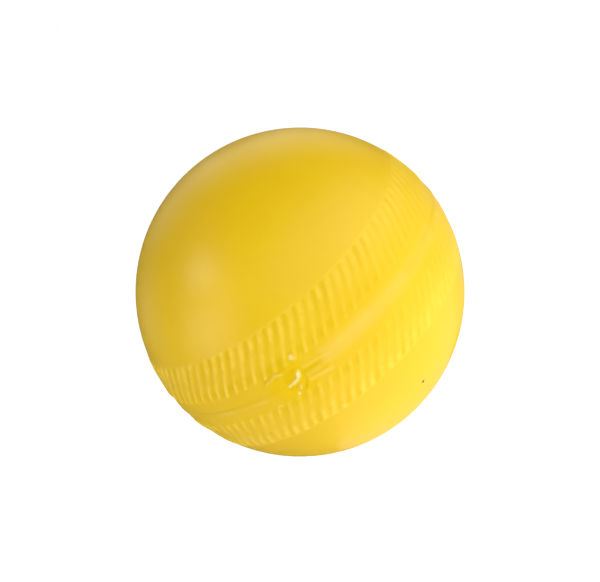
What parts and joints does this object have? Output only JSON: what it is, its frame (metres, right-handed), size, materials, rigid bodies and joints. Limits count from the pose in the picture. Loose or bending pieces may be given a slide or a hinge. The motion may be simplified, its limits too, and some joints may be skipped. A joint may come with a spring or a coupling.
{
  "type": "plastic cricket ball",
  "caption": "Hollow plastic cricket ball: welded half shells with bands of slanted moulded stitch ridges beside a smooth seam land, and a dished plug that closes the air hole.",
  "frame": {"origin": "centre of the ball", "axes": "+Z is the axis of the seam, through the poles of the two half shells; the seam lies in the XY plane; -Y points out through the plug"},
  "size_m": [0.0716, 0.0716, 0.0712],
  "materials": {
    "shell_plastic": "waxy semi-gloss moulded yellow plastic",
    "weld_plastic": "fused yellow plastic bead, slightly darker",
    "plug_plastic": "glossy remelted yellow plastic"
  },
  "bodies": {
    "root": {"upper_half_shell": "shell_plastic", "lower_half_shell": "shell_plastic", "seam_weld": "weld_plastic", "air_hole_plug": "plug_plastic"}
  },
  "joints": []
}
